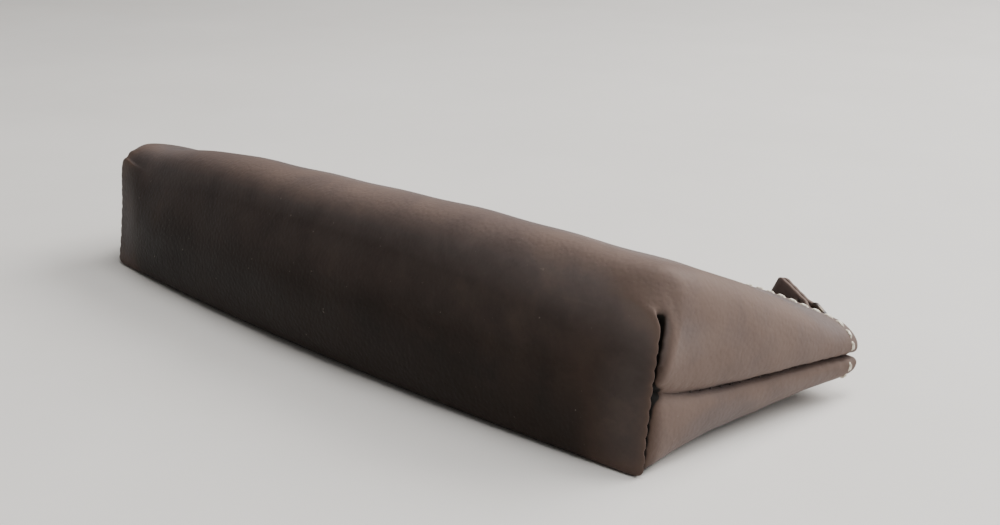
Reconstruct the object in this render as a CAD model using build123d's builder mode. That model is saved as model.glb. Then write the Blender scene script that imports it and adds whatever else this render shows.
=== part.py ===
"""A zipped leather pen case, lying on its side.

The case is one sheet of leather folded round a narrow base, closed by a zip along the opposite edge and
boxed at each end by a T-shaped seam. It lies on its lower side: the base faces -Y, the zip runs along +Y,
and the near end, where the slider rests, faces +X. Millimetres, +Z up, origin under the middle of the case.
The leather is cut into panels along its seams and folds, and the upper side hinges on its fold as the zip
opens.
"""

from build123d import *

import os
from math import cos, radians, sin

# ---- the leather case ----
base_length = 195.0  # between the two cross seams of the base
end_overhang = 8.0  # how far each end leans outwards from the base to the zip
case_depth = 66.0  # from the base's lower edge to the zip edge
leather = 1.8
front_y = -32.8  # the base's lower edge at its corners, which centres the whole case on the origin

# Cross-sections as (distance along X, front lower corner, front upper corner), each corner as (back, up)
# from the base's lower edge. The middle is fuller than the seamed ends.
sole_dip = 0.4  # shaved off to leave a flat underside
stations = (
    (-110.0, (1.0, -sole_dip), (6.5, 31.5)),
    (-62.0, (-3.0, -sole_dip), (2.5, 45.5)),
    (0.0, (-5.0, -sole_dip), (1.5, 46.5)),
    (62.0, (-3.0, -sole_dip), (2.5, 45.5)),
    (110.0, (1.0, -sole_dip), (6.5, 36.5)),
)
keel_back = 40.0  # where the lower side leaves the table
lip_upper = 18.5  # height of the leather at the zip, above and below it
lip_lower = 4.5
side_bulge = 1.2
base_bulge = 1.2
low_front_radius = 4.0
top_front_radius = 11.0
lip_radius = 3.0
keel_radius = 30.0
end_radius = 2.5

# ---- where the sheet is cut into panels ----
end_panel = 5.0  # how far each end panel wraps round on to the sides
lip_half_length = 88.0  # the opening stretch of the upper side
fold_y = front_y + 8.5  # the fold along which the upper side opens
sole_cut_y = front_y - 2.0
seam_front_z = 17.5  # height of the side seam at the base and at the zip
seam_zip_z = 9.0
panel_gap = 0.3  # round the opening upper side

# ---- the zip ----
zip_z = (lip_upper + lip_lower) / 2
mouth_height = 10.0
mouth_length = 206.4
mouth_radius = 3.0
tape_y = front_y + 63.4
tape_thickness = 0.6
tape_edge = 1.3  # from the zip's middle to the edge of each tape
tape_turn = 5.0  # from the zip's middle to where a tape turns in under the leather
tape_flap = 5.0
upper_flap_angle = 20.0
lower_flap_angle = 10.7
tape_half_length = 102.6
teeth_pitch = 2.2
tooth_width = 0.95
tooth_reach = 0.9
tooth_root = 2.3
tooth_thickness = 2.0
tooth_slot = 0.7
chain_end = 98.0
stop_length = 1.2
top_stop_x = 101.9
bottom_stop_x = -99.8
bottom_stop_length = 2.0
stop_thickness = 2.2

# ---- the slider and its pull ----
slider_x = 96.5
slider_length = 9.0
slider_width = 8.0
slider_corner = 2.0
channel = 2.8
plate_thickness = 1.2
flange_width = 0.8
tape_slot = 1.2
post_length = 2.2
post_width = 2.2
post_offset = 3.0
bridge_span = 6.4
bridge_rise = 3.0
bridge_width = 1.6
bridge_bar = 1.0
ring_wire = 0.6  # radius
ring_bend = 1.2  # radius of its corners
ring_reach = 7.0
ring_inside = 7.6
ring_out_angle = 15.0
pull_yaw = 26.0  # the pull tips up from the line of the zip
strap_layer = 0.9
strap_width = 7.0
strap_length = 11.0
strap_out_angle = 8.0
strap_loop = 0.85  # inside radius

# ---- sewing ----
stitch_pitch = 3.0
stitch_length = 2.2
thread_radius = 0.35
stitch_lift = 0.06  # the thread lies just clear of the leather
topstitch_back = 62.6  # both rows of topstitching, from the base's lower edge
topstitch_half_length = 101.0
cross_seam_back = 4.6  # on each end panel, behind the base
cross_seam_lean = 0.15
seam_stitch_pitch = 3.2


def at(back, up):
    """A point of a cross-section, from its distances back from the base's lower edge and up."""
    return (front_y + back, up)


def bulge_point(start, end, height):
    """The middle of a bowed side of a clockwise outline, height outwards from the straight line."""
    middle = Vector((start[0] + end[0]) / 2, (start[1] + end[1]) / 2)
    along = (Vector(*end) - Vector(*start)).normalized()
    return middle + Vector(-along.Y, along.X) * height


def cross_section(x, low_front, top_front, inset):
    """The outline of the case at one distance along its length, moved inwards by inset."""
    corner_low, corner_top = at(*low_front), at(*top_front)
    lip_top, lip_low = at(case_depth, lip_upper), at(case_depth, lip_lower)
    keel = at(keel_back, -sole_dip)
    rounding = (
        (corner_low, low_front_radius),
        (corner_top, top_front_radius),
        (lip_top, lip_radius),
        (lip_low, lip_radius),
        (keel, keel_radius),
    )
    with BuildSketch(Plane.YZ.offset(x)) as section:
        with BuildLine():
            ThreePointArc(corner_low, bulge_point(corner_low, corner_top, base_bulge), corner_top)
            ThreePointArc(corner_top, bulge_point(corner_top, lip_top, side_bulge), lip_top)
            Polyline(lip_top, lip_low, keel, corner_low)
        make_face()
        for corner, radius in rounding:
            fillet(section.vertices().sort_by_distance(Vector(*corner))[0], radius)
        if inset:
            offset(amount=-inset, mode=Mode.REPLACE)
    return section.sketch


def end_plane(side, inset=0.0):
    """The leaning plane of one end, facing outwards: side is 1 for the near end, -1 for the far end."""
    outwards = Vector(side * case_depth, -end_overhang, 0).normalized()
    along_end = Vector(end_overhang * side, case_depth, 0)
    origin = Vector(side * base_length / 2, front_y, 0) - outwards * inset
    return Plane(origin=origin, x_dir=along_end, z_dir=outwards)


def case_form(inset=0.0, edge_radius=0.0):
    """The whole case as one solid, drawn inwards by inset, with leaning ends whose edges may be rolled."""
    with BuildPart() as form:
        loft([cross_section(*station, inset) for station in stations])
        for side in (1, -1):
            split(bisect_by=end_plane(side, inset), keep=Keep.BOTTOM)
        if edge_radius:
            for side in (1, -1):
                end_face = form.faces().filter_by(GeomType.PLANE).sort_by(Axis.X)[-1 if side > 0 else 0]
                fillet(end_face.edges(), edge_radius)
        split(bisect_by=Plane.XY.offset(inset), keep=Keep.TOP)
    return form


outer = case_form(edge_radius=end_radius)
cavity = case_form(inset=leather)

with BuildPart() as shell:
    add(outer.part)
    add(cavity.part, mode=Mode.SUBTRACT)
    with BuildSketch(Plane.XZ.offset(-front_y - case_depth - 1.0)):
        with Locations((0, zip_z)):
            RectangleRounded(mouth_length, mouth_height, mouth_radius)
    extrude(amount=leather + 3.0, mode=Mode.SUBTRACT)

# ---- cutting planes, each facing the panel behind, above or outside it ----
fold_cut = Plane(origin=(0, fold_y, 0), x_dir=(1, 0, 0), z_dir=(0, 1, 0))
sole_cut = Plane(origin=(0, sole_cut_y, 0), x_dir=(1, 0, 0), z_dir=(0, 1, -1))
seam_slope = Vector(0, case_depth, seam_zip_z - seam_front_z)
side_seam_cut = Plane(
    origin=(0, front_y, seam_front_z), x_dir=(1, 0, 0), z_dir=Vector(1, 0, 0).cross(seam_slope)
)
near_cut = end_plane(1, end_panel)
far_cut = end_plane(-1, end_panel)
near_lip_cut = Plane.YZ.offset(lip_half_length)
far_lip_cut = -Plane.YZ.offset(-lip_half_length)
zip_cut = Plane.XY.offset(zip_z)


def panel(*kept_sides):
    """The leather that lies on the side each of these planes faces."""
    with BuildPart() as piece:
        add(shell.part)
        for plane in kept_sides:
            split(bisect_by=plane, keep=Keep.TOP)
    return piece


base_panel = panel(-fold_cut, -sole_cut, -near_cut, -far_cut)
lower_side = panel(sole_cut, -zip_cut, -near_cut, -far_cut)
upper_side = panel(
    fold_cut.offset(panel_gap), zip_cut, -near_lip_cut.offset(-panel_gap), -far_lip_cut.offset(-panel_gap)
)
near_end_lower = panel(near_cut, -side_seam_cut)
far_end_lower = panel(far_cut, -side_seam_cut)

with BuildPart() as near_end_upper:
    add(panel(near_cut, side_seam_cut).part)
    add(panel(near_lip_cut, -near_cut, fold_cut, zip_cut).part)

with BuildPart() as far_end_upper:
    add(panel(far_cut, side_seam_cut).part)
    add(panel(far_lip_cut, -far_cut, fold_cut, zip_cut).part)


def tape(side, flap_angle, *stretches):
    """A tape over (start, end) stretches: straight beside the teeth, then turned in along the leather.

    side is 1 for the upper tape and -1 for the lower one.
    """
    turn = (tape_y, zip_z + side * tape_turn)
    flap_end = (
        turn[0] - tape_flap * cos(radians(flap_angle)),
        turn[1] + side * tape_flap * sin(radians(flap_angle)),
    )
    with BuildPart() as strip:
        for start, end in stretches:
            with BuildSketch(Plane.YZ.offset(start)):
                with BuildLine():
                    Polyline((tape_y, zip_z + side * tape_edge), turn, flap_end)
                trace(line_width=tape_thickness)
            extrude(amount=end - start)
    return strip


opening_end = lip_half_length - panel_gap
upper_ends = ((lip_half_length, tape_half_length), (-tape_half_length, -lip_half_length))
zipper_tape_upper = tape(1, upper_flap_angle, (-opening_end, opening_end))
zipper_tape_upper_ends = tape(1, upper_flap_angle, *upper_ends)
zipper_tape_lower = tape(-1, lower_flap_angle, (-tape_half_length, tape_half_length))


def clasp(side, inner, outer_edge, length, thickness):
    """A metal block that grips the edge of one tape, centred on x = 0. side is 1 for the upper tape."""
    with BuildPart() as block:
        with BuildSketch(Plane.YZ.offset(-length / 2)):
            with Locations((tape_y, zip_z + side * (inner + outer_edge) / 2)):
                Rectangle(thickness, outer_edge - inner)
            with Locations((tape_y, zip_z + side * (tape_edge + outer_edge) / 2)):
                Rectangle(tooth_slot, outer_edge - tape_edge + 0.2, mode=Mode.SUBTRACT)
        extrude(amount=length)
    return block


def repeat_along(piece, places):
    """Copies of a piece at several distances along the case."""
    with BuildPart() as row:
        with Locations(*[(x, 0, 0) for x in places]):
            add(piece.part)
    return row


def teeth_between(start, end, offset_of_row):
    """The places of the teeth of one row from start to end."""
    count = int((chain_end - offset_of_row) / teeth_pitch)
    places = [offset_of_row + teeth_pitch * index for index in range(-count, count + 1)]
    return [x for x in places if start + tooth_width / 2 < x < end - tooth_width / 2]


upper_tooth = clasp(1, -tooth_reach, tooth_root, tooth_width, tooth_thickness)
lower_tooth = clasp(-1, -tooth_reach, tooth_root, tooth_width, tooth_thickness)
zipper_teeth_upper = repeat_along(upper_tooth, teeth_between(-opening_end, opening_end, 0.0))
zipper_teeth_upper_ends = repeat_along(
    upper_tooth,
    teeth_between(-chain_end, -lip_half_length, 0.0) + teeth_between(lip_half_length, chain_end, 0.0),
)
zipper_teeth_lower = repeat_along(lower_tooth, teeth_between(-chain_end, chain_end, teeth_pitch / 2))

with BuildPart() as top_stops:
    for side in (1, -1):
        stop = clasp(side, tape_edge - 0.4, tooth_root, stop_length, tooth_thickness)
        add(repeat_along(stop, [top_stop_x]).part)

with BuildPart() as bottom_stop:
    with BuildSketch(Plane.YZ.offset(bottom_stop_x - bottom_stop_length / 2)):
        with Locations((tape_y, zip_z)):
            Rectangle(stop_thickness, 2 * tooth_root)
            with GridLocations(0, 2 * tooth_root, 1, 2):
                Rectangle(tooth_slot, 2 * (tooth_root - tape_edge) + 0.2, mode=Mode.SUBTRACT)
    extrude(amount=bottom_stop_length)

plate_inner = channel / 2
plate_outer = plate_inner + plate_thickness

with BuildPart() as slider_body:
    for y in (tape_y - plate_outer, tape_y + plate_inner):
        with BuildSketch(Plane.XZ.offset(-y)):
            with Locations((slider_x, zip_z)):
                RectangleRounded(slider_length, slider_width, slider_corner)
        extrude(amount=-plate_thickness)
    flange_offset = (slider_width - flange_width) / 2
    flange_height = plate_inner - tape_slot / 2
    for side in (1, -1):
        for y in (tape_y + tape_slot / 2, tape_y - plate_inner):
            with BuildSketch(Plane.XZ.offset(-y)):
                with Locations((slider_x, zip_z + side * flange_offset)):
                    Rectangle(slider_length - 2 * slider_corner, flange_width)
            extrude(amount=-flange_height)
    with Locations((slider_x + post_offset, tape_y, zip_z)):
        Box(post_length, channel, post_width)

bridge_base = tape_y + plate_outer
with BuildPart() as slider_bridge:
    with BuildSketch(Plane.XY.offset(zip_z - bridge_width / 2)):
        with Locations((slider_x, bridge_base + bridge_rise / 2)):
            Rectangle(bridge_span, bridge_rise)
        with Locations((slider_x, bridge_base + (bridge_rise - bridge_bar) / 2)):
            Rectangle(bridge_span - 2 * bridge_bar, bridge_rise - bridge_bar, mode=Mode.SUBTRACT)
    extrude(amount=bridge_width)
    fillet(slider_bridge.edges().filter_by(Axis.Z).group_by(Axis.Y)[-1], bridge_bar * 0.9)

# The pull's own frame: origin on the ring's pin, x along the ring's reach, z along the pin.
pin = Vector(slider_x + 0.6, bridge_base + (bridge_rise - bridge_bar) / 2, zip_z)
pull_across = Vector(sin(radians(pull_yaw)), 0, cos(radians(pull_yaw)))
pull_flat = Vector(-cos(radians(pull_yaw)), 0, sin(radians(pull_yaw)))


def reach_direction(out_angle):
    """Along the pull, turned out from the case by an angle."""
    return pull_flat * cos(radians(out_angle)) + Vector(0, sin(radians(out_angle)), 0)


ring_plane = Plane(origin=pin, x_dir=reach_direction(ring_out_angle), z_dir=pull_across)
ring_half = ring_inside / 2 + ring_wire
with BuildPart() as puller_ring:
    with BuildLine(Plane(origin=pin, x_dir=ring_plane.x_dir, z_dir=ring_plane.y_dir)) as ring_path:
        FilletPolyline(
            (0, -ring_half), (0, ring_half), (ring_reach, ring_half), (ring_reach, -ring_half),
            radius=ring_bend, close=True,
        )
    with BuildSketch(ring_plane):
        Circle(ring_wire)
    sweep(path=ring_path.wire())

ring_bar = pin + reach_direction(ring_out_angle) * ring_reach
strap_plane = Plane(origin=ring_bar, x_dir=reach_direction(strap_out_angle), z_dir=pull_across)
with BuildPart() as leather_pull:
    with BuildSketch(strap_plane.offset(-strap_width / 2)):
        Circle(strap_loop + strap_layer)
        with Locations((strap_length / 2, 0)):
            Rectangle(strap_length, 2 * strap_layer)
        Circle(strap_loop, mode=Mode.SUBTRACT)
    extrude(amount=strap_width)

with BuildPart() as stitch:
    Cylinder(thread_radius, stitch_length, rotation=(0, 90, 0))
    chamfer(stitch.edges().filter_by(GeomType.CIRCLE), thread_radius * 0.4)


def sew(places):
    """A row of stitches, one along the X of each plane."""
    with BuildPart() as row:
        with Locations(*places):
            add(stitch.part)
    return row


leather_skin = outer.part.shells()[0]


def stitch_on_side(x, from_above):
    """The plane of a topstitch on the upper or the lower side, clear of the leather by the stitch's lift."""
    crossings = leather_skin.find_intersection_points(Axis((x, front_y + topstitch_back, 0), (0, 0, 1)))
    crossings.sort(key=lambda crossing: crossing[0].Z)
    point, normal = crossings[-1 if from_above else 0]
    outwards = normal if (normal.Z > 0) == from_above else -normal
    heading = Vector(0, 1, 0).cross(outwards)
    return Plane(origin=point + outwards * (thread_radius + stitch_lift), x_dir=heading, z_dir=outwards)


def places_between(start, end, pitch):
    """Evenly pitched places that fill the stretch from start to end."""
    count = int((end - start) / pitch)
    first = (start + end - count * pitch) / 2
    return [first + pitch * index for index in range(count + 1)]


stitch_room = stitch_length / 2 + 0.4
top_row = places_between(-opening_end + stitch_room, opening_end - stitch_room, stitch_pitch)
near_row = places_between(lip_half_length + stitch_room, topstitch_half_length, stitch_pitch)
whole_row = places_between(-topstitch_half_length, topstitch_half_length, stitch_pitch)
zip_stitch_upper = sew([stitch_on_side(x, True) for x in top_row])
zip_stitch_upper_ends = sew([stitch_on_side(side * x, True) for side in (1, -1) for x in near_row])
zip_stitch_lower = sew([stitch_on_side(x, False) for x in whole_row])


def end_stitches(side, start, end):
    """Planes of the stitches on one end panel, on the line between two (back, up) points."""
    surface = end_plane(side).offset(thread_radius + stitch_lift)
    first, last = Vector(*start), Vector(*end)
    along = (last - first).normalized()
    heading = surface.x_dir * along.X + Vector(0, 0, along.Y)
    planes = []
    for place in places_between(0, (last - first).length, seam_stitch_pitch):
        spot = first + along * place
        origin = surface.origin + surface.x_dir * spot.X + Vector(0, 0, spot.Y)
        planes.append(Plane(origin=origin, x_dir=heading, z_dir=surface.z_dir))
    return planes


def cross_seam(side):
    """The seam across one end of the base."""
    return sew(end_stitches(side, (cross_seam_back, 5.0), (cross_seam_back + cross_seam_lean * 24.0, 29.0)))


def side_seam(side):
    """The seam from the middle of the cross seam to the zip."""
    return sew(end_stitches(side, (10.0, seam_front_z - 1.3), (58.0, seam_zip_z + 1.0)))


near_cross_seam_thread = cross_seam(1)
far_cross_seam_thread = cross_seam(-1)
near_side_seam_thread = side_seam(1)
far_side_seam_thread = side_seam(-1)

pull_stitch_x = strap_loop + strap_layer + 1.6
pull_face = strap_layer + thread_radius + stitch_lift
pull_places = [
    Plane(
        origin=strap_plane.from_local_coords((pull_stitch_x, side * pull_face, across * stitch_pitch)),
        x_dir=pull_across,
        z_dir=strap_plane.y_dir,
    )
    for side in (1, -1)
    for across in (-0.5, 0.5)
]
pull_stitch = sew(pull_places)

pieces = {
    "base_panel": base_panel,
    "lower_side": lower_side,
    "upper_side": upper_side,
    "near_end_upper": near_end_upper,
    "near_end_lower": near_end_lower,
    "far_end_upper": far_end_upper,
    "far_end_lower": far_end_lower,
    "zipper_tape_upper": zipper_tape_upper,
    "zipper_tape_upper_ends": zipper_tape_upper_ends,
    "zipper_tape_lower": zipper_tape_lower,
    "zipper_teeth_upper": zipper_teeth_upper,
    "zipper_teeth_upper_ends": zipper_teeth_upper_ends,
    "zipper_teeth_lower": zipper_teeth_lower,
    "top_stops": top_stops,
    "bottom_stop": bottom_stop,
    "slider_body": slider_body,
    "slider_bridge": slider_bridge,
    "puller_ring": puller_ring,
    "leather_pull": leather_pull,
    "pull_stitch": pull_stitch,
    "zip_stitch_upper": zip_stitch_upper,
    "zip_stitch_upper_ends": zip_stitch_upper_ends,
    "zip_stitch_lower": zip_stitch_lower,
    "near_cross_seam_thread": near_cross_seam_thread,
    "far_cross_seam_thread": far_cross_seam_thread,
    "near_side_seam_thread": near_side_seam_thread,
    "far_side_seam_thread": far_side_seam_thread,
}

os.makedirs("parts", exist_ok=True)
for name, piece in pieces.items():
    piece.part.label = name
    export_step(piece.part, f"parts/{name}.step")
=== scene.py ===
"""The leather pen case's looks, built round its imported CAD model.

The leather is one smooth cage in three patches (upper side, base, lower side) that meet at the folds and at
the T-shaped end seams. It is subdivided, given its seams' puckers, thickened and cut into pieces that ride on
the CAD bodies. Shape values are in millimetres: (along, back, up), with back measured from the base's lower
edge.
"""

import math

import bmesh
import bpy
import numpy as np
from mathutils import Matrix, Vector
from mathutils.bvhtree import BVHTree


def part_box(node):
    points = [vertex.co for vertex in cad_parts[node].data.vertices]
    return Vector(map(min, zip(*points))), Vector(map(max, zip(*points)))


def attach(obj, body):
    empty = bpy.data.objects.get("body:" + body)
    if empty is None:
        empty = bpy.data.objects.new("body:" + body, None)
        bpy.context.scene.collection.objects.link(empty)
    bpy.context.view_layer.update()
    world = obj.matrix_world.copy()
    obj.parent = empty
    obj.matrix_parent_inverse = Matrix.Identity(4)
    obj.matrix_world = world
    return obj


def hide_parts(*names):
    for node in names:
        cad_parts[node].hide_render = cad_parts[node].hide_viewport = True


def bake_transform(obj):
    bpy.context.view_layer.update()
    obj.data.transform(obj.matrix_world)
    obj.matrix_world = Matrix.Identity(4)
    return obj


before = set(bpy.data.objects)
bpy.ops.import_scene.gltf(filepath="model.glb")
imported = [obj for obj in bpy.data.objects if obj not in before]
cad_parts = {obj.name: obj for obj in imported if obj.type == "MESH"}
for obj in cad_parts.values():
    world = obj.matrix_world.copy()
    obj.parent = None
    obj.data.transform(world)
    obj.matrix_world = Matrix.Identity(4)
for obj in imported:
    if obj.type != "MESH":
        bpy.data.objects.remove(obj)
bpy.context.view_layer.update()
MM = 0.001

# ---- places read from the frame ----
_, lower_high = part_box("lower_side")
depth = 66.0
front = lower_high.y / MM - depth  # Y of the base's lower edge
half_base = 97.5
overhang = 8.0
leather_thickness = 1.7

slider_top = 15.8  # the zip's upper lip stays above it

# ---- the case's form ----
seam_top = {1: (5.2, 33.8), -1: (3.7, 31.3)}  # (back, up) of the cross seam's top at the near and far end
seam_tee = (2.6, 17.6)
seam_foot = (0.2, 0.0)
side_seam_places = [0, 3, 6, 12, 18, 24, 30, 42, 54, 66]
side_seam_heights = [17.9, 16.8, 15.6, 14.4, 13.6, 12.8, 12.2, 11.4, 10.7, 9.8]
body_stations = [-84, -76, -68, -60, -50, -40, -30, -20, -10, 0, 10, 20, 30, 40, 50, 60, 68, 76, 84]
end_names = {1: "near", -1: "far"}


def smooth(x, low, high):
    """0 below low, 1 above high and a smooth step between."""
    t = np.clip((x - low) / (high - low), 0.0, 1.0)
    return t * t * (3.0 - 2.0 * t)


def through(x, pairs):
    """Straight runs through (place, value) pairs."""
    return float(np.interp(x, [place for place, _ in pairs], [value for _, value in pairs]))


def belly(x):
    """How much fuller the case is at x than at its seamed ends, 1 at the middle."""
    return math.cos(math.pi / 2 * min(abs(x) / 100.0, 1.0)) ** 0.8


def ridge_height(x):
    """Height of the top of the case along its length: it sinks towards the far end."""
    return through(x, [(-97, 33.4), (-88, 34.7), (-76, 36.4), (-60, 38.3), (-40, 39.7), (-15, 40.5),
                       (5, 41.5), (30, 42.3), (60, 42.5), (84, 42.2), (97, 41.0)])


def lip_height(x):
    """Height of the upper lip's top."""
    return through(x, [(-104, 16.6), (-98, 17.2), (-84, 17.4), (-70, 17.6), (-50, 18.1), (0, 18.6),
                       (60, 18.9), (76, 19.3), (84, 19.9), (92, 19.4), (100, 17.6)])


def upper_section(x):
    """(back, up) of the upper side's rows at x, from the top of the base over the ridge to the zip's lip."""
    full, ridge = belly(x), ridge_height(x)
    lip = lip_height(x)
    sunk = 0.04 * smooth(-x, 20.0, 70.0)
    rise = smooth(x, 76.0, 90.0)
    edge = 66.4 - 0.4 * smooth(-x, 60.0, 84.0)
    roof = lambda share: lip + (ridge - lip) * share
    return [
        (4.2 - 4.6 * full, 0.80 * ridge),
        (4.8 - 4.5 * full, 0.85 * ridge),
        (5.6 - 4.4 * full, 0.905 * ridge),
        (6.8 - 3.2 * full, 0.965 * ridge),
        (9.5 - 1.0 * full, 1.006 * ridge),
        (14.5 - 0.5 * full, 0.978 * ridge),
        (22.0, roof(0.83)),
        (33.0, roof(0.61 - sunk)),
        (45.0, roof(0.37 - sunk)),
        (55.5, roof(0.17 - 0.5 * sunk)),
        (62.5, roof(0.045 + 0.03 * rise)),
        (edge, lip - 0.6 + 0.5 * rise),
        (edge, max(lip - 2.2 + 0.4 * rise, slider_top)),
    ]


def base_section(x):
    """(back, up) of the base's rows at x, from just under the upper side down to the table."""
    full, ridge = belly(x), ridge_height(x)
    top = 0.80 * ridge
    return [
        (3.3 - 6.2 * full, 0.86 * top),
        (2.2 - 7.2 * full, 0.70 * top),
        (1.5 - 7.6 * full, 0.575 * top),
        (1.2 - 7.7 * full, 0.52 * top),
        (1.0 - 7.8 * full, 0.46 * top),
        (0.3 - 7.3 * full, 0.30 * top),
        (-0.3 - 6.0 * full, 0.13 * top),
    ]


def lower_section(x):
    """(back, up) of the lower side's rows at x, from the base's lower edge to the zip's lower lip."""
    full = belly(x)
    return [
        (0.2 - 4.6 * full, 0.1),
        (2.0 - 4.0 * full, -0.1),
        (5.0 - 3.0 * full, -0.1),
        (14.0, 0.0),
        (27.0, 0.0),
        (38.0, 0.0),
        (48.0, 0.9),
        (57.0, 2.7),
        (63.2, 3.9),
        (66.2, 4.9),
        (66.2, 6.6),
    ]


def seam_line(back):
    """(along, up) of the side seam at a distance back from the base."""
    return half_base + overhang * back / depth, float(np.interp(back, side_seam_places, side_seam_heights))


def crossbar(side, share):
    """(back, up) on a cross seam, share 0 at its top and 1 at its foot."""
    if share < 0.5:
        start, end, t = seam_top[side], seam_tee, share * 2
    else:
        start, end, t = seam_tee, seam_foot, share * 2 - 1
    return start[0] + (end[0] - start[0]) * t, start[1] + (end[1] - start[1]) * t


def bar_line(up):
    """How far back the cross seam is at each height, with both ends taken like the near one."""
    heights = [seam_foot[1], seam_tee[1], seam_top[1][1]]
    return np.interp(up, heights, [seam_foot[0], seam_tee[0], seam_top[1][0]])


# Rows of the base from its top to its foot, as shares of the cross seam. The side seam meets the middle one.
seam_shares = [0.0, 0.12, 0.28, 0.43, 0.5, 0.57, 0.72, 0.88, 1.0]
slit_gap = [0.6, 1.4, 1.0, 0.35, 0.1, 0.05, 0.05, 0.05, 0.1]  # how far the slit gapes at each of them
foot_row = len(seam_shares) - 1
gusset_columns = 5  # from the cross seam's top, or its foot, to the side seam
roll_depth = 0.8  # of the base's rolled end edge
TOP_FOLD_ROW = 4  # the upper side's row along which it opens


class Cage:
    """Control points by name and the faces between them."""

    def __init__(self):
        self.names, self.points, self.faces, self.tags, self.creases = {}, [], [], [], {}

    def point(self, name, place):
        if name not in self.names:
            self.names[name] = len(self.points)
            self.points.append(place)
        return self.names[name]

    def strip(self, columns, tag_of, turned=False):
        """Faces between neighbouring columns of points, facing outwards. Doubled corners make triangles."""
        for left, right in zip(columns, columns[1:]):
            for row in range(len(left) - 1):
                face = list(dict.fromkeys((left[row], left[row + 1], right[row + 1], right[row])))
                self.faces.append(face[::-1] if turned else face)
                self.tags.append(tag_of(row))

    def crease(self, chain):
        for a, b in zip(chain, chain[1:]):
            self.creases[frozenset((a, b))] = 1.0


def body_columns(cage):
    upper, base, lower = [], [], []
    for x in body_stations:
        u, b, lo = upper_section(x), base_section(x), lower_section(x)
        upper.append([cage.point(("u", x, i), (x, *p)) for i, p in enumerate(u)])
        names = [("u", x, 0)] + [("b", x, i) for i in range(len(b))] + [("l", x, 0)]
        base.append([cage.point(n, (x, *p)) for n, p in zip(names, [u[0]] + b + [lo[0]])])
        lower.append([cage.point(("l", x, i), (x, *p)) for i, p in enumerate(lo)])
    return upper, base, lower


def base_end(cage, side):
    """The base's last columns: beside the roll, on the roll, inside the slit and at the slit's bottom."""
    name = end_names[side]
    inner, edge, lip, tuck = [], [], [], []
    for i, share in enumerate(seam_shares):
        back, up = crossbar(side, share)
        closed = i in (0, foot_row)
        depth_in = {0: 0.2, foot_row: -2.0}.get(i, 5.2)
        behind = 0.0 if closed else roll_depth + 0.5 * slit_gap[i]
        tuck.append(cage.point((name, "tuck", i), (side * (half_base + 0.2 - depth_in), back + behind, up)))
        if closed:
            edge.append(tuck[i])
            lip.append(tuck[i])
        else:
            edge.append(cage.point((name, "edge", i), (side * (half_base + 1.7), back - 0.1, up)))
            lip.append(cage.point((name, "lip", i), (side * (half_base - 0.8), back + roll_depth, up)))
        lift = 1.4 if i == 0 else 0.0
        inner_x = half_base - (1.2 if i == foot_row else 2.8)
        inner.append(cage.point((name, "in", i), (side * inner_x, back - 1.0, up + lift)))
    return inner, edge, lip, tuck


# Rows of the gussets next to the cross seam: how far each column is along from the base's end, behind the
# slit and above the seam. None leaves the height as it was.
upper_beside_seam = {
    1: ((-0.4, -0.8, -0.8, -1.0, -1.8), (0.1, 0.0, 0.0, 0.0, 0.2), (1.5, 0.4, 0.2, 0.1, 0.0)),
    2: ((-1.0, 1.9, 2.0, 1.9, -1.2), (1.2, 0.5, 0.5, 0.5, 0.9), (3.2, 1.0, 0.3, 0.2, 0.0)),
    3: ((-2.0, 2.0, 2.2, 2.1, -1.1), (2.0, 2.5, 2.5, 2.2, 2.4), (None, 2.2, 1.2, -0.1, -0.9)),
}
lower_beside_seam = {
    1: ((0.9, -1.0, -1.2, -1.2, -1.8), (0.6, 0.1, 0.1, 0.1, 0.2), (0.0, 0.0, 0.0, -0.3, 0.0)),
    2: ((0.4, 1.0, 1.1, 1.0, -1.2), (1.8, 0.5, 0.4, 0.5, 1.2), (0.1, 0.2, 0.0, -0.6, -0.3)),
}
fuller_rows = {4: 4.0, 5: 8.0}  # rows of the upper gusset that stay at least this far behind the slit


def upper_gusset(cage, side, tuck):
    """Columns of the upper side beyond its last station, over the end and down to the side seam."""
    name = end_names[side]
    section = upper_section(body_stations[-1] * side)
    last_row = len(section) - 1
    columns = [[]]
    for row, (back, up) in enumerate(section):
        along, _ = seam_line(back)
        pinch = smooth(back, 35.0, depth)
        if row == 0:
            columns[0].append(cage.names[(name, "in", 0)])
            continue
        dip = 1.9 if side > 0 else -0.3
        place = (along - 7.0 - 0.4 * pinch, back + 0.1, up - 0.3 - dip * pinch)
        columns[0].append(cage.point((name, "lead", row), (side * place[0], *place[1:])))
    for column in range(gusset_columns):
        points = [tuck[column]]
        seam_back, seam_height = crossbar(side, seam_shares[column])
        for row in range(1, last_row + 1):
            back, up = section[row]
            along, seam_up = seam_line(back)
            pinch, away = smooth(back, 35.0, depth), smooth(back, 8.0, 35.0)
            curl = 0.9 if row == last_row else 0.0
            height = up - seam_up + curl
            offset, share = (
                (-3.2 - 0.4 * pinch, 0.985 - 0.23 * pinch),
                (0.7 - 1.2 * pinch, 0.84 - 0.27 * pinch),
                (0.9 + 1.0 * away - 0.7 * pinch, 0.50 - 0.11 * pinch),
                (1.2 + 0.8 * away - 0.5 * pinch, 0.10),
                (-2.2, 0.0),
            )[column]
            x, y, z = along + offset - curl * 1.4, back + 0.2 - 0.1 * column, seam_up + height * share
            gap = slit_gap[column] + (roll_depth if column else 0.0)
            if row in upper_beside_seam:
                outward, behind, above = [values[column] for values in upper_beside_seam[row]]
                x, y = half_base + outward, seam_back + gap + behind
                z = z if above is None else seam_height + above
            elif row in fuller_rows and column:
                y = max(y, seam_back + gap + fuller_rows[row])
            points.append(cage.point((name, "u", column, row), (side * x, y, z)))
        columns.append(points)
    return columns


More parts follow.
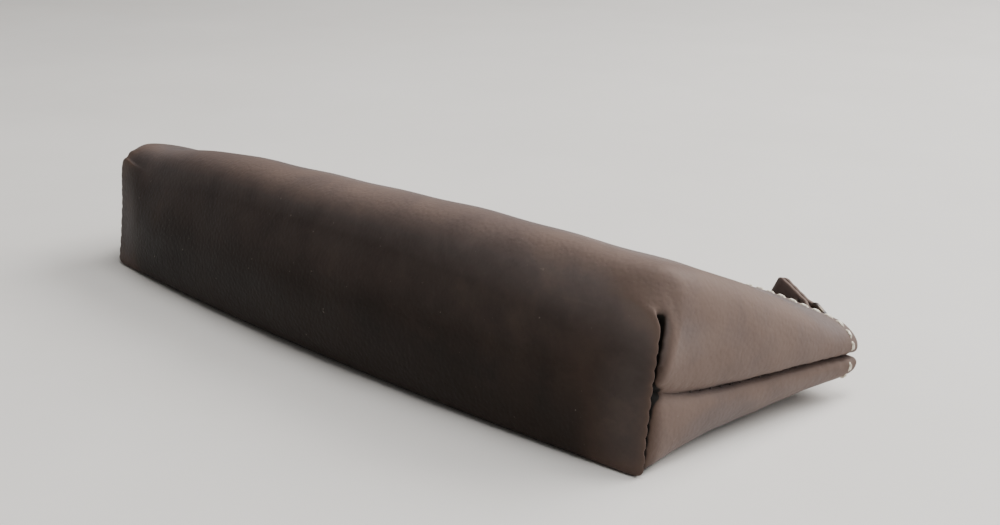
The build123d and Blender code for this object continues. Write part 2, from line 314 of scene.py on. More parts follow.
def lower_gusset(cage, side, tuck):
    """Columns of the lower side beyond its last station, tucked under and up to the side seam."""
    name = end_names[side]
    section = lower_section(body_stations[-1] * side)
    last_row = len(section) - 1
    columns = [[cage.names[(name, "in", foot_row)]]]
    for row, (back, up) in enumerate(section[1:], 1):
        along, _ = seam_line(back)
        under = smooth(back, 0.0, 30.0)
        columns[0].append(cage.point((name, "leadl", row), (side * (along - 6.0 - 4.5 * under), back, up)))
    for column in range(gusset_columns):
        seam_row = foot_row - column
        points = [tuck[seam_row]]
        seam_back, seam_height = crossbar(side, seam_shares[seam_row])
        gap = slit_gap[seam_row] + (roll_depth if column else 0.0)
        for row in range(1, last_row + 1):
            back, up = section[row]
            along, seam_up = seam_line(back)
            under, flare = smooth(back, 0.0, 30.0), smooth(back, 50.0, depth)
            curl = 0.8 if row == last_row else 0.0
            height = seam_up - up - curl
            offset, share = (
                (-1.8 - 4.6 * under + 1.8 * flare, 0.03 - 0.05 * flare),
                (0.7 - 3.3 * under + 3.0 * flare, 0.22 + 0.05 * under - 0.15 * flare),
                (1.1 - 1.3 * under + 1.6 * flare, 0.56),
                (1.0 - 0.5 * under + 0.8 * flare, 0.955),
                (-2.2, 1.0),
            )[column]
            x, y, z = along + offset - curl * 1.6, back, up + height * share
            if row in lower_beside_seam:
                outward, behind, above = [values[column] for values in lower_beside_seam[row]]
                x, y, z = half_base + outward, seam_back + gap + behind, seam_height + above
            points.append(cage.point((name, "l", column, row), (side * x, y, z)))
        columns.append(points)
    return columns


def build_cage():
    cage = Cage()
    upper, base, lower = body_columns(cage)
    for side in (-1, 1):
        base_columns = list(base_end(cage, side))
        tuck = base_columns[-1]
        upper_columns = upper_gusset(cage, side, tuck)
        lower_columns = lower_gusset(cage, side, tuck)
        for chain in (tuck, upper_columns[-1], lower_columns[-1]):
            cage.crease(chain)
        if side > 0:
            upper, base, lower = upper + upper_columns, base + base_columns, lower + lower_columns
        else:
            upper, base, lower = (upper_columns[::-1] + upper, base_columns[::-1] + base,
                                  lower_columns[::-1] + lower)
    cage.strip(upper, lambda row: "front" if row < TOP_FOLD_ROW else "upper", turned=True)
    cage.strip(base, lambda row: "base")
    cage.strip(lower, lambda row: "lower")
    return cage


def new_object(name, data):
    thing = bpy.data.objects.new(name, data)
    bpy.context.scene.collection.objects.link(thing)
    return thing


def evaluated(thing):
    """A new mesh of an object with its modifiers applied."""
    graph = bpy.context.evaluated_depsgraph_get()
    return bpy.data.meshes.new_from_object(thing.evaluated_get(graph))


def mark_points(mesh, name, values, kind="FLOAT"):
    """Gives every vertex of a mesh a value that its material reads."""
    key = "value" if kind == "FLOAT" else "vector"
    mesh.attributes.new(name, kind, "POINT").data.foreach_set(key, values)


def mesh_from_cage(cage, levels):
    """The cage's subdivided surface as arrays: points in mm, quads, and each quad's patch."""
    mesh = bpy.data.meshes.new("cage")
    mesh.from_pydata([tuple(p) for p in cage.points], [], cage.faces)
    kinds = sorted(set(cage.tags))
    patch = mesh.attributes.new("patch", "INT", "FACE")
    patch.data.foreach_set("value", [kinds.index(t) for t in cage.tags])
    crease = mesh.attributes.new("crease_edge", "FLOAT", "EDGE")
    crease.data.foreach_set("value", [cage.creases.get(frozenset(e.vertices), 0.0) for e in mesh.edges])
    holder = new_object("cage", mesh)
    smoother = holder.modifiers.new("smooth", "SUBSURF")
    smoother.levels = smoother.render_levels = levels
    smoother.boundary_smooth = "PRESERVE_CORNERS"
    fine = evaluated(holder)
    bpy.data.objects.remove(holder)
    co = np.zeros(len(fine.vertices) * 3)
    fine.vertices.foreach_get("co", co)
    corners = np.zeros(len(fine.loops), int)
    fine.loops.foreach_get("vertex_index", corners)
    patches = np.zeros(len(fine.polygons), int)
    fine.attributes["patch"].data.foreach_get("value", patches)
    bpy.data.meshes.remove(fine)
    return co.reshape(-1, 3), corners.reshape(-1, 4), np.array(kinds)[patches]


def vertex_normals(points, quads):
    diagonal_a = points[quads[:, 2]] - points[quads[:, 0]]
    diagonal_b = points[quads[:, 3]] - points[quads[:, 1]]
    area = np.cross(diagonal_a, diagonal_b)
    normals = np.zeros_like(points)
    for corner in range(4):
        np.add.at(normals, quads[:, corner], area)
    return normals / np.maximum(np.linalg.norm(normals, axis=1, keepdims=True), 1e-9)


def relaxed(points, quads, rounds):
    """The points after each has moved to the mean of its neighbours a number of times."""
    for _ in range(rounds):
        total, count = np.zeros_like(points), np.zeros(len(points))
        for corner in range(4):
            a, b = quads[:, corner], quads[:, (corner + 1) % 4]
            np.add.at(total, a, points[b])
            np.add.at(total, b, points[a])
            np.add.at(count, a, 1)
            np.add.at(count, b, 1)
        points = total / count[:, None]
    return points


stitch_pitch = 3.0
stitch_length = 2.3
stitch_lift = 0.10  # of a thread's middle above the skin
thread_radius = 0.36
pucker_pitch = 2.8


def sculpted(points, normals):
    """The skin with the puckers of its seams, the stitched groove of its lip and soft dents."""
    along, back, up = points.T
    x = np.abs(along)
    share = np.clip(back / depth, 0, 1)
    seam_x = half_base + overhang * share
    seam_z = np.interp(back, side_seam_places, side_seam_heights)
    from_bar = back - bar_line(up)
    turns = 2 * math.pi * up / pucker_pitch

    # the base's rolled end edge: drawn in at each stitch, wrinkled beside it and folded behind it
    scallop = 0.5 + 0.5 * np.cos(turns)
    near_bar = smooth(x, half_base - 1.6, half_base + 0.4) * np.exp(-(np.abs(from_bar - 0.5) / 1.7) ** 2)
    below_top = 1 - smooth(up, 27.0, 31.0)
    notch = 0.42 * scallop ** 2 * near_bar * below_top
    move = np.zeros_like(x)
    wrinkle = np.cos(turns + 0.7 * np.sin(up * 0.9))
    beside = smooth(x, half_base - 7.0, half_base - 1.0)
    beside = beside * (1 - smooth(from_bar, -1.0, 1.5)) * smooth(up, 1, 4)
    move += 0.055 * wrinkle * beside
    fan = smooth(x, half_base - 1.0, half_base + 1.0)
    fan = fan * np.exp(-(np.maximum(from_bar - 1.0, 0) / 3.0) ** 2)
    move += 0.10 * np.cos(turns) * fan * smooth(from_bar, 0.5, 1.5) * below_top

    # the side seam, puckered at each stitch
    pucker = np.cos(2 * math.pi * back / stitch_pitch)
    near_stem = smooth(x, seam_x - 1.5, seam_x + 0.5) * np.exp(-(np.abs(up - seam_z) / 2.2) ** 2)
    move += 0.16 * pucker * near_stem * smooth(back, 4.0, 8.0)

    # broad dents between the ends, and soft ones on the gussets
    dents = np.sin(along * 0.071 + 1.3) * np.sin(back * 0.11 + up * 0.09 + 0.4)
    dents += 0.6 * np.sin(along * 0.128 + back * 0.05 + 2.1) * np.cos(up * 0.16 + back * 0.07)
    dents += 0.35 * np.sin(along * 0.23 - up * 0.12 + back * 0.19 + 0.8)
    open_area = (1 - smooth(x, 84, 94)) * smooth(up, 3, 10)
    move += 0.30 * dents * open_area
    soft = np.sin(along * 0.5 + back * 0.21) * np.sin(back * 0.33 + up * 0.35 + 1.0)
    move += 0.10 * soft * smooth(x, 92, 98) * smooth(from_bar, 6, 14) * (1 - smooth(back, 52, 60))

    points = points + normals * move[:, None]
    points[:, 0] -= np.sign(along) * notch
    points[:, 2] = np.maximum(points[:, 2], 0.0)
    return points


def turned_in(points):
    """1 in the folds of the end seams, where the leather turns in on itself, and 0 elsewhere."""
    along, back, up = points.T
    x = np.abs(along)
    seam_x = half_base + overhang * np.clip(back / depth, 0, 1)
    seam_z = np.interp(back, side_seam_places, side_seam_heights)
    bar = smooth(x, half_base - 7.0, half_base - 3.5)
    bar = bar * (1 - smooth(back, 6.0, 10.0)) * (1 - smooth(up, 36.0, 39.0))
    stem = smooth(x, seam_x - 5.0, seam_x - 2.5) * (1 - smooth(np.abs(up - seam_z), 1.2, 3.0))
    return np.maximum(bar, stem)


def painted_light_and_shade(points):
    """How much light or shade is painted on each place of the leather: the base is left dark, the roof,
    gussets, shoulders, base ends and upper base are painted paler as painted light and sheen, and the slit,
    its stitch holes and the lower base get painted shade below 0.
    """
    along, back, up = points.T
    x = np.abs(along)
    from_bar = back - bar_line(up)
    # Painted light and sheen: the roof, the gussets, the shoulders, the base's ends and the base's upper part
    # are painted paler.
    roof = smooth(back + 0.35 * (up - 36.0), -6.0, 7.5) * smooth(up, 6.0, 16.0)
    roof *= 0.62 + 0.38 * smooth(along, -70.0, 20.0)
    gusset_light = smooth(x, half_base - 5.0, half_base + 0.5) * smooth(back, 2.5, 7.0)
    shoulder_light = smooth(x, 70.0, 90.0) * smooth(up, 29.0, 38.0) * smooth(back, -3.0, 4.0)
    base_end_light = 0.30 * smooth(x, 82.0, 95.0)
    upper_base_light = 0.16 * smooth(up, 16.0, 32.0)
    # Painted shade: the slit's recess behind the rolled edge and the stitch holes beside it are painted near
    # black.
    slit_shade = (1 - smooth(x, half_base - 0.6, half_base + 0.7)) * (1 - smooth(up, 32.5, 34.0))
    slit_shade *= smooth(x, half_base - 9.0, half_base - 6.0) * smooth(from_bar, 0.4, 0.9)
    slit_shade *= 1 - smooth(from_bar, 3.5, 5.0)
    stitch_hole_shade = (0.5 + 0.5 * np.cos(2 * math.pi * up / pucker_pitch)) ** 3
    stitch_hole_shade *= smooth(x, half_base, half_base + 0.8)
    stitch_hole_shade *= smooth(from_bar, 0.0, 0.5) * (1 - smooth(from_bar, 1.4, 2.2)) * (1 - smooth(up, 28.0, 31.0))
    slit_shade = np.maximum(slit_shade, stitch_hole_shade)
    # Painted shade: the base's lower part is painted darker.
    low_base_shade = (1 - smooth(up, 3.0, 24.0)) * (1 - smooth(x, 80.0, 93.0)) * (1 - smooth(back, 1.0, 4.0))
    tone = np.maximum.reduce([roof, gusset_light, shoulder_light, base_end_light, upper_base_light])
    return tone * (1 - slit_shade) - 0.6 * slit_shade - 0.2 * low_base_shade


def add_piece(name, vertices, faces, look, rest=None):
    """A new piece from vertices in mm (back measured from the base) and faces.

    Its material is laid out by the vertices' own places, or by rest where that is given.
    """
    places = np.array(vertices, float)
    world = places.copy()
    world[:, 1] += front
    mesh = bpy.data.meshes.new(name)
    mesh.from_pydata([tuple(p) for p in world * MM], [], [tuple(int(i) for i in f) for f in faces])
    mesh.polygons.foreach_set("use_smooth", [True] * len(mesh.polygons))
    marks = places if rest is None else np.array(rest, float)
    mark_points(mesh, "rest", (marks * MM).ravel(), "FLOAT_VECTOR")
    mesh.materials.append(look)
    return new_object(name, mesh)


def leather_piece(name, points, quads, normals, marks, thickness):
    """A piece of the leather: its outer face, its inner face and the cut edges between them."""
    used, local = np.unique(quads, return_inverse=True)
    local = local.reshape(quads.shape)
    outer = points[used]
    count = len(used)
    skived = 0.45 * smooth(outer[:, 1], 56.0, 62.0) * smooth(outer[:, 2], 12.0, 14.0)
    share = (1 - 0.94 * turned_in(outer)) * (1 - skived)
    inner = outer - normals[used] * (thickness * share)[:, None]
    inner[:, 2] = np.maximum(inner[:, 2], 0.05)
    edges = {(int(a), int(b)) for quad in local for a, b in zip(quad, np.roll(quad, -1))}
    rim = [(a, b) for a, b in edges if (b, a) not in edges]
    rim.sort()
    faces = [tuple(q) for q in local] + [tuple(q[::-1] + count) for q in local]
    faces += [(b, a, a + count, b + count) for a, b in rim]
    piece = add_piece(name, np.vstack([outer, inner]), faces, looks["leather"])
    mesh = piece.data
    mesh.materials.append(looks["suede"])
    mesh.polygons.foreach_set("material_index", [0] * len(local) + [1] * (len(faces) - len(local)))
    rim_edges = {frozenset(e) for e in rim} | {frozenset((a + count, b + count)) for a, b in rim}
    sharp = mesh.attributes.new("sharp_edge", "BOOLEAN", "EDGE")
    sharp.data.foreach_set("value", [frozenset(e.vertices) in rim_edges for e in mesh.edges])
    for mark, values in marks.items():
        mark_points(mesh, mark, np.concatenate([values[used], values[used]]))
    own = normals[used]
    vertex = np.zeros(len(mesh.loops), int)
    mesh.loops.foreach_get("vertex_index", vertex)
    loop_normals = np.zeros((len(mesh.loops), 3))
    skin_loops = len(local) * 4
    loop_normals[:skin_loops] = own[vertex[:skin_loops]]
    loop_normals[skin_loops:2 * skin_loops] = -own[vertex[skin_loops:2 * skin_loops] - count]
    mesh.normals_split_custom_set([tuple(n) for n in loop_normals])
    return piece


def loft_faces(rings, sides):
    """The faces through a row of rings of points, with both ends capped."""
    faces = []
    for ring in range(rings - 1):
        for side in range(sides):
            a, b = ring * sides + side, ring * sides + (side + 1) % sides
            faces.append((a, b, b + sides, a + sides))
    faces.append(tuple(range(sides))[::-1])
    faces.append(tuple(range((rings - 1) * sides, rings * sides)))
    return faces


def tube_along(path, radius, sides=8, ends=2):
    """Vertices, faces and (along, around) marks of a round thread along a path with domed ends."""
    path = [np.array(p, float) for p in path]
    tangents = [path[min(i + 1, len(path) - 1)] - path[max(i - 1, 0)] for i in range(len(path))]
    tangents = [t / np.linalg.norm(t) for t in tangents]
    dome = [math.pi / 2 * (ends - step) / (ends + 0.4) for step in range(ends)]
    rings = [(path[0] - tangents[0] * radius * math.sin(angle), tangents[0], radius * math.cos(angle))
             for angle in dome]
    rings += [(p, t, radius) for p, t in zip(path, tangents)]
    rings += [(path[-1] + tangents[-1] * radius * math.sin(angle), tangents[-1], radius * math.cos(angle))
              for angle in dome[::-1]]
    vertices, marks = [], []
    reach = 0.0
    for index, (middle, tangent, size) in enumerate(rings):
        if index:
            reach += float(np.linalg.norm(middle - rings[index - 1][0]))
        helper = np.array([0.0, 0.0, 1.0]) if abs(tangent[2]) < 0.8 else np.array([0.0, 1.0, 0.0])
        across = np.cross(tangent, helper)
        across /= np.linalg.norm(across)
        normal = np.cross(across, tangent)
        for side in range(sides):
            angle = 2 * math.pi * side / sides
            vertices.append(middle + (across * math.cos(angle) + normal * math.sin(angle)) * size)
            marks.append((reach, radius * angle, 0.0))
    return vertices, loft_faces(len(rings), sides), marks


def joined(parts):
    """Several (vertices, faces, marks) as one."""
    vertices, faces, marks = [], [], []
    for part_vertices, part_faces, part_marks in parts:
        start = len(vertices)
        vertices += [tuple(v) for v in part_vertices]
        faces += [tuple(i + start for i in f) for f in part_faces]
        marks += [tuple(m) for m in part_marks]
    return vertices, faces, marks


def on_skin(tree, place):
    """The skin's nearest point to a place and its outward normal."""
    point, normal, _, _ = tree.find_nearest(Vector(place))
    return np.array(point), np.array(normal)


def stitches_along(tree, guide):
    """Stitches that lie on the skin along a guide line, each dipping into the leather at its ends."""
    line = [on_skin(tree, place) for place in guide]
    places = np.array([p for p, _ in line])
    reach = np.concatenate([[0], np.cumsum(np.linalg.norm(np.diff(places, axis=0), axis=1))])
    parts = []
    for index in range(int((reach[-1] - stitch_length) / stitch_pitch) + 1):
        path = []
        for share in (0.0, 0.12, 0.3, 0.5, 0.7, 0.88, 1.0):
            at = index * stitch_pitch + share * stitch_length
            place = [np.interp(at, reach, places[:, axis]) for axis in range(3)]
            point, normal = on_skin(tree, place)
            dip = (abs(share - 0.5) * 2) ** 4
            path.append(point + normal * (stitch_lift - dip * (thread_radius + stitch_lift + 0.25)))
        parts.append(tube_along(path, thread_radius))
    return joined(parts)


def swept_strip(sections, name, look):
    """A piece lofted through closed sections, each a list of places, with capped ends."""
    vertices = [place for section in sections for place in section]
    return add_piece(name, vertices, loft_faces(len(sections), len(sections[0])), look)


def across_run(path, index):
    """The unit vector square to a flat path at one of its points."""
    before, after = path[max(index - 1, 0)], path[min(index + 1, len(path) - 1)]
    run = np.array([after[0] - before[0], after[1] - before[1]])
    run /= np.linalg.norm(run)
    return np.array([-run[1], run[0]])


# ---- the zip, in mm: the CAD model's own places ----
zip_z = 11.5
tape_back = 63.4
tape_edge = 1.3
tape_turn = 5.0
tape_flap = 5.0
tape_thickness = 0.6
tape_rib = 0.9
teeth_pitch = 2.2
chain_end = 98.0
tape_end = 102.0
flap_angles = {1: 23.0, -1: 4.0}


def tape_section(x, side):
    """A tape's closed outline at x: a corded edge beside the teeth, a web and a flap under the leather."""
    drop = 1.2 + 1.1 * (smooth(x, 86.0, 94.0) + smooth(-x, 96.0, 100.0))
    under_lip = lip_height(x) - drop - zip_z
    turn_up = min(tape_turn, under_lip) if side > 0 else tape_turn
    far_flat = 11.0 * smooth(-x, 60.0, 84.0) if side > 0 else 0.0
    angle = math.radians(flap_angles[side] - far_flat)
    flap = tape_flap - 2.4 * smooth(abs(x), 92.0, 100.0)
    corner = (tape_back, zip_z + side * turn_up)
    end = (corner[0] - flap * math.cos(angle), corner[1] + side * flap * math.sin(angle))
    middle, half = [], []
    for share in (0.0, 0.12, 0.28, 0.5, 0.75):
        up = tape_edge + (turn_up - tape_edge) * share
        middle.append((tape_back, zip_z + side * up))
        half.append(tape_thickness / 2 + (0.22 if share < 0.1 else 0.12 if share < 0.2 else 0.0))
    for angle_share in (0.25, 0.75):
        middle.append((corner[0] - 0.5 * angle_share, corner[1] - side * 0.35 * (1 - angle_share)))
        half.append(tape_thickness / 2)
    for share in (0.3, 0.65, 1.0):
        middle.append(tuple(a + (b - a) * share for a, b in zip(corner, end)))
        half.append(tape_thickness / 2)
    rib = 0.06 * math.cos(2 * math.pi * x / tape_rib)
    left, right = [], []
    for index, (back, up) in enumerate(middle):
        across = across_run(middle, index) * (half[index] + rib)
        left.append((x, back + across[0], up + across[1]))
        right.append((x, back - across[0], up - across[1]))
    outline = left + right[::-1]
    return outline if side < 0 else outline[::-1]


def tape_piece(name, side, start, end):
    steps = max(int(abs(end - start) / (tape_rib / 4)), 2)
    sections = [tape_section(start + (end - start) * i / steps, side) for i in range(steps + 1)]
    return swept_strip(sections, name, looks["tape"])


def rounded_ring(x, back, up, half_x, half_y, sides=12, squareness=0.55):
    """A ring of points round a tooth: a rounded rectangle, flat in z."""
    ring = []
    for side in range(sides):
        angle = 2 * math.pi * (side + 0.5) / sides
        c, s = math.cos(angle), math.sin(angle)
        ring.append((x + half_x * math.copysign(abs(c) ** squareness, c),
                     back + half_y * math.copysign(abs(s) ** squareness, s), up))
    return ring


tooth_outline = [  # (distance from the zip's middle, half width along the case, half thickness)
    (-0.90, 0.22, 0.45), (-0.82, 0.36, 0.68), (-0.45, 0.46, 0.86), (0.10, 0.47, 0.95),
    (0.45, 0.34, 0.90), (1.20, 0.34, 0.88), (1.45, 0.46, 0.96), (2.10, 0.47, 0.98), (2.30, 0.38, 0.85),
]


def tooth(x, side):
    rings = [rounded_ring(x, tape_back, zip_z + side * up, half_x, half_y)
             for up, half_x, half_y in tooth_outline]
    vertices = [p for ring in rings for p in ring]
    faces = loft_faces(len(rings), len(rings[0]))
    if side < 0:
        faces = [f[::-1] for f in faces]
    return vertices, faces, vertices


def teeth_piece(name, side, start, end, offset):
    count = int(chain_end / teeth_pitch) + 1
    places = [offset + teeth_pitch * i for i in range(-count, count + 1)]
    parts = [tooth(x, side) for x in places if start <= x < end and abs(x) < chain_end]
    vertices, faces, _ = joined(parts)
    return add_piece(name, vertices, faces, looks["metal"])


def refined(node, name, bevel, look):
    """A copy of a CAD node with its flat faces merged and its edges rounded."""
    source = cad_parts[node]
    shape = bmesh.new()
    shape.from_mesh(source.data)
    shape.transform(source.matrix_world)
    bmesh.ops.remove_doubles(shape, verts=shape.verts, dist=1e-6)
    bmesh.ops.dissolve_limit(shape, angle_limit=math.radians(1.0), verts=shape.verts, edges=shape.edges)
    mesh = bpy.data.meshes.new(name)
    shape.to_mesh(mesh)
    shape.free()
    piece = new_object(name, mesh)
    rounding = piece.modifiers.new("rounding", "BEVEL")
    rounding.width = bevel * MM
    rounding.segments = 3
    rounding.limit_method = "ANGLE"
    rounding.angle_limit = math.radians(35)
    done = evaluated(piece)
    piece.modifiers.clear()
    piece.data = done
    bpy.data.meshes.remove(mesh)
    done.name = name
    done.polygons.foreach_set("use_smooth", [True] * len(done.polygons))
    done.set_sharp_from_angle(angle=math.radians(40))
    places = np.zeros(len(done.vertices) * 3)
    done.vertices.foreach_get("co", places)
    mark_points(done, "rest", places, "FLOAT_VECTOR")
    done.materials.clear()
    done.materials.append(look)
    return piece


# ---- the pull's leather strap, folded round the ring's bar ----
pull_yaw = math.radians(26.0)
strap_out = math.radians(8.0)
strap_layer = 0.9
strap_width = 7.0
strap_length = 11.0
strap_loop = 0.85  # radius of the fold's inside
strap_shorter = 0.35  # how much the outer layer's tip falls short of the other's
half_outline = [(-1, -0.5), (-0.96, -0.92), (-0.86, -1), (-0.4, -1), (0, -1), (0.4, -1), (0.86, -1),
                (0.96, -0.92), (1, -0.5)]
strap_outline = half_outline + [(-w, -n) for w, n in half_outline]  # (across the width, across the thickness)
strap_edge_corners = {0, 1, 7, 8, 9, 10, 16, 17}  # the outline's corners at the strap's cut edges


def strap_axes():
    across = np.array([math.sin(pull_yaw), 0, math.cos(pull_yaw)])
    flat = np.array([-math.cos(pull_yaw), 0, math.sin(pull_yaw)])
    reach = flat * math.cos(strap_out) + np.array([0, math.sin(strap_out), 0])
    return reach, np.cross(across, reach), across


def strap_places(bar):
    """The folded strap's sections: two layers from the tip round the bar, with a soft splay at the tip."""
    reach, rise, across = strap_axes()
    middle_radius = strap_loop + strap_layer / 2
    layer_rise = strap_layer / 2
    path = []
    for share in np.linspace(1.0, 0.16, 14):
        splay = 0.10 * smooth(share, 0.6, 1.0)
        path.append((strap_length * share, layer_rise + 0.02 + splay))
    for angle in np.linspace(62, 298, 17):
        a = math.radians(angle)
        path.append((middle_radius * math.cos(a), middle_radius * math.sin(a)))
    for share in np.linspace(0.16, 1.0, 14):
        splay = 0.10 * smooth(share, 0.6, 1.0)
        path.append(((strap_length - strap_shorter) * share, -layer_rise - 0.02 - splay))
    sections = []
    for index, (u, v) in enumerate(path):
        normal = across_run(path, index)
        tip = min(index, len(path) - 1 - index)
        half_width = strap_width / 2 - (0.55, 0.12)[tip] if tip < 2 else strap_width / 2
        half_width += 0.06 * math.sin(index * 1.7)
        half = strap_layer / 2 - (0.08 if tip == 0 else 0.0)
        section = []
        for w, n in strap_outline:
            place = (u + normal[0] * half * n, v + normal[1] * half * n)
            section.append(bar + reach * place[0] + rise * place[1] + across * half_width * w)
        sections.append(section)
    return sections


# ---- materials ----
class Look:
    """A procedural material, built a node at a time."""

    def __init__(self, name, place="rest"):
        self.material = bpy.data.materials.new(name)
        self.material.use_nodes = True
        self.tree = self.material.node_tree
        self.tree.nodes.clear()
        out = self.tree.nodes.new("ShaderNodeOutputMaterial")
        self.shader = self.tree.nodes.new("ShaderNodeBsdfPrincipled")
        self.tree.links.new(self.shader.outputs[0], out.inputs["Surface"])
        if place == "rest":
            self.place = self.attribute("rest", "Vector")
        else:
            self.place = self.tree.nodes.new("ShaderNodeTexCoord").outputs["Object"]

    def add(self, kind, inputs, output=0, **settings):
        """One output of a new node, with its inputs linked or set."""
        node = self.tree.nodes.new("ShaderNode" + kind)
        for setting, value in settings.items():
            setattr(node, setting, value)
        for socket, value in inputs.items():
            self.put(node.inputs[socket], value)
        return node.outputs[output]

    def attribute(self, name, output):
        return self.add("Attribute", {}, output, attribute_name=name)

    def put(self, socket, value):
        if isinstance(value, bpy.types.NodeSocket):
            self.tree.links.new(value, socket)
        else:
            socket.default_value = value

    def stretched(self, scale, turn=(0, 0, 0)):
        return self.add("Mapping", {"Vector": self.place, "Scale": scale, "Rotation": turn})

    def noise(self, scale, detail=3.0, rough=0.5, place=None, distortion=0.0):
        inputs = {"Vector": place or self.place, "Scale": scale, "Detail": detail, "Roughness": rough,
                  "Distortion": distortion}
        return self.add("TexNoise", inputs, "Fac")

    def cells(self, scale, feature):
        return self.add("TexVoronoi", {"Vector": self.place, "Scale": scale}, "Distance", feature=feature)

    def waves(self, scale, direction, distortion=0.0):
        inputs = {"Vector": self.place, "Scale": scale, "Distortion": distortion, "Detail": 1.0}
        return self.add("TexWave", inputs, "Fac", bands_direction=direction)

    def math(self, operation, a, b):
        return self.add("Math", {0: a, 1: b}, operation=operation)

    def weighted(self, *parts):
        """The sum of (value, weight) parts."""
        total = None
        for value, weight in parts:
            term = value if weight == 1.0 else self.math("MULTIPLY", value, weight)
            total = term if total is None else self.math("ADD", total, term)
        return total

    def span(self, value, low, high, to_low=0.0, to_high=1.0):
        return self.add("MapRange", dict(enumerate((value, low, high, to_low, to_high))))

    def ramp(self, value, *stops):
        node = self.tree.nodes.new("ShaderNodeValToRGB")
        self.put(node.inputs[0], value)
        points = node.color_ramp.elements
        while len(points) < len(stops):
            points.new(0.5)
        for point, (place, color) in zip(points, stops):
            point.position = place
            point.color = (*color, 1.0)
        return node.outputs[0]

    def mix(self, amount, a, b):
        first, second = [c if isinstance(c, bpy.types.NodeSocket) else (*c, 1.0) for c in (a, b)]
        return self.add("Mix", {0: amount, 6: first, 7: second}, 2, data_type="RGBA")

    def bumps(self, *layers):
        """The normal after (height, strength, distance in metres) bumps, one on another."""
        normal = None
        for height, strength, distance in layers:
            inputs = {"Strength": strength, "Distance": distance, "Height": height}
            if normal is not None:
                inputs["Normal"] = normal
            normal = self.add("Bump", inputs)
        return normal

    def finish(self, color, roughness, normal, constants):
        self.put(self.shader.inputs["Base Color"], color)
        self.put(self.shader.inputs["Roughness"], roughness)
        self.put(self.shader.inputs["Normal"], normal)
        for name, value in constants.items():
            self.shader.inputs[name].default_value = value
        return self.material


def leather_look():
    look = Look("oiled_leather")
    clouds = look.noise(24.0, 4.0, 0.55, distortion=0.6)
    mottle = look.noise(120.0, 6.0, 0.62, distortion=0.3)
    haze = look.noise(11.0, 2.0, 0.5)
    wear = look.attribute("wear", "Fac")
    scratch_a = look.noise(1.0, 2.0, 0.6, look.stretched((26, 420, 420), (0.0, 0.35, 0.25)))
    scratch_b = look.noise(1.0, 2.0, 0.6, look.stretched((380, 30, 330), (0.3, -0.5, 0.7)))
    scratches = look.math("MAXIMUM", look.span(scratch_a, 0.68, 0.80), look.span(scratch_b, 0.70, 0.82))
    tone = look.weighted((clouds, 0.62), (mottle, 0.46), (wear, 0.20), (scratches, 0.06))
    dark = look.ramp(
        tone,
        (0.28, (0.0100, 0.0060, 0.0042)),
        (0.46, (0.0170, 0.0110, 0.0084)),
        (0.62, (0.0260, 0.0176, 0.0142)),
        (0.80, (0.0430, 0.0290, 0.0225)),
    )
    # Paler leather colours, used where light and sheen are painted.
    painted_light = look.ramp(
        tone,
        (0.28, (0.074, 0.058, 0.056)),
        (0.46, (0.112, 0.091, 0.087)),
        (0.62, (0.150, 0.121, 0.114)),
        (0.80, (0.205, 0.155, 0.134)),
    )
    # The painted light attribute: above 0 it mixes towards the paler colours as painted light and sheen.
    shade = look.attribute("painted_light", "Fac")
    color = look.mix(look.math("MAXIMUM", shade, 0.0), dark, painted_light)
    warm = look.span(look.weighted((wear, 1.0), (haze, 0.5)), 0.45, 1.1, 0.0, 0.5)
    color = look.mix(warm, color, (0.100, 0.062, 0.047))
    # Where it goes below 0 the colour is mixed towards near black as painted shade.
    color = look.mix(look.span(shade, 0.0, -0.3), color, (0.004, 0.003, 0.002))
    specks = look.span(look.noise(640.0, 2.0, 0.5), 0.735, 0.80)
    color = look.mix(look.math("MULTIPLY", specks, 0.35), color, (0.26, 0.21, 0.18))
    grain = look.cells(1050.0, "SMOOTH_F1")
    pores = look.noise(2100.0, 3.0, 0.6)
    creases = look.cells(230.0, "DISTANCE_TO_EDGE")
    creases = look.span(creases, 0.0, 0.10, 0.0, 1.0)
    coarse = look.noise(330.0, 4.0, 0.6)
    normal = look.bumps((coarse, 0.10, 0.0004), (creases, 0.06, 0.0002), (grain, 0.38, 0.00022),
                        (pores, 0.20, 0.00012))
    roughness = look.span(look.weighted((mottle, 1.0), (clouds, 0.6)), 0.5, 1.1, 0.50, 0.68)
    return look.finish(color, roughness, normal, {
        "Specular IOR Level": 0.13,
        "Sheen Weight": 0.09,
        "Sheen Roughness": 0.38,
        "Sheen Tint": (0.78, 0.82, 0.90, 1.0),
    })


def suede_look():
    look = Look("leather_flesh_side")
    nap = look.noise(900.0, 5.0, 0.7)
    tone = look.weighted((nap, 0.6), (look.noise(70.0, 3.0), 0.5))
    color = look.ramp(tone, (0.35, (0.060, 0.040, 0.029)), (0.75, (0.150, 0.103, 0.074)))
    return look.finish(color, look.span(nap, 0.3, 0.7, 0.82, 0.95), look.bumps((nap, 0.6, 0.0003)), {
        "Specular IOR Level": 0.2,
        "Sheen Weight": 0.5,
        "Sheen Tint": (0.9, 0.85, 0.8, 1.0),
    })


def thread_look(name, dark, light):
    """Twisted thread: its marks run along and round each stitch."""
    look = Look(name)
    plies = look.waves(420.0, "DIAGONAL")
    fibres = look.noise(5200.0, 3.0, 0.6)
    color = look.ramp(look.weighted((plies, 0.6), (fibres, 0.5)), (0.15, dark), (0.75, light))
    normal = look.bumps((plies, 0.7, 0.00012), (fibres, 0.3, 0.00005))
    return look.finish(color, look.span(fibres, 0.3, 0.7, 0.55, 0.75), normal, {
        "Specular IOR Level": 0.35,
        "Sheen Weight": 0.3,
    })


